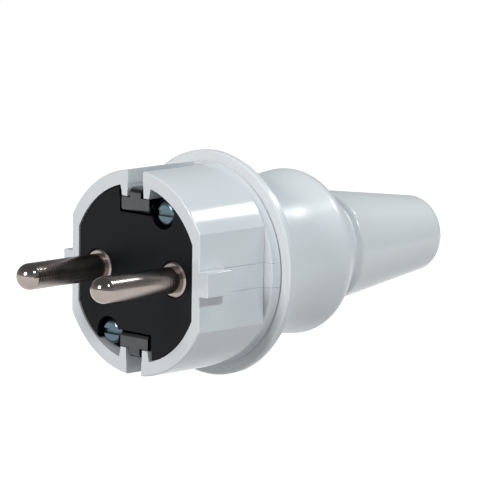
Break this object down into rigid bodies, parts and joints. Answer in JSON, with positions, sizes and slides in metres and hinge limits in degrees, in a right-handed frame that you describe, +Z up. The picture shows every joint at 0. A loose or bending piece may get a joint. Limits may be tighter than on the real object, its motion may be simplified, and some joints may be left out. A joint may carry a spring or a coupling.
{
  "type": "earthed mains plug",
  "caption": "Rewireable earthed mains plug with round contact pins, side earth clips, flat-sided round front collar and a bulbous rear hood with a tapering bend relief sleeve",
  "frame": {"origin": "On the table, under the middle of the plug's bounding box", "axes": "+Z up, +Y along the plug towards its cord end as it lies (the plug's own axis rises 6.17 degrees towards +Y), X from pin to pin"},
  "size_m": [0.0408, 0.0929, 0.0407],
  "materials": {
    "moulded_light_grey": "semi-matt moulded thermoplastic",
    "soft_light_grey": "smooth soft thermoplastic, satin",
    "moulded_black": "matt moulded thermoset",
    "nickel_plated_brass": "turned and nickel plated, satin",
    "nickel_plated_strip": "stamped and nickel plated strip, bright",
    "blue_zinc_screw": "blue passivated zinc plate",
    "zinc_plated_steel": "zinc plate, satin"
  },
  "bodies": {
    "root": {"front_collar": "moulded_light_grey", "pin_carrier": "moulded_black", "contact_pin_left": "nickel_plated_brass", "contact_pin_right": "nickel_plated_brass", "terminal_screw_left": "zinc_plated_steel", "terminal_screw_right": "zinc_plated_steel", "earth_bracket": "nickel_plated_strip", "earth_clamp_plate": "zinc_plated_steel", "earth_lock_washer": "zinc_plated_steel", "earth_screw": "zinc_plated_steel", "housing_screw_upper": "blue_zinc_screw", "housing_screw_lower": "blue_zinc_screw", "housing_nut_upper": "zinc_plated_steel", "housing_nut_lower": "zinc_plated_steel", "cord_saddle": "moulded_black", "cord_clamp": "moulded_black", "clamp_screw_left": "zinc_plated_steel", "clamp_screw_right": "zinc_plated_steel", "clamp_nut_left": "zinc_plated_steel", "clamp_nut_right": "zinc_plated_steel", "rear_hood": "moulded_light_grey", "bend_relief_sleeve": "soft_light_grey"}
  },
  "joints": []
}
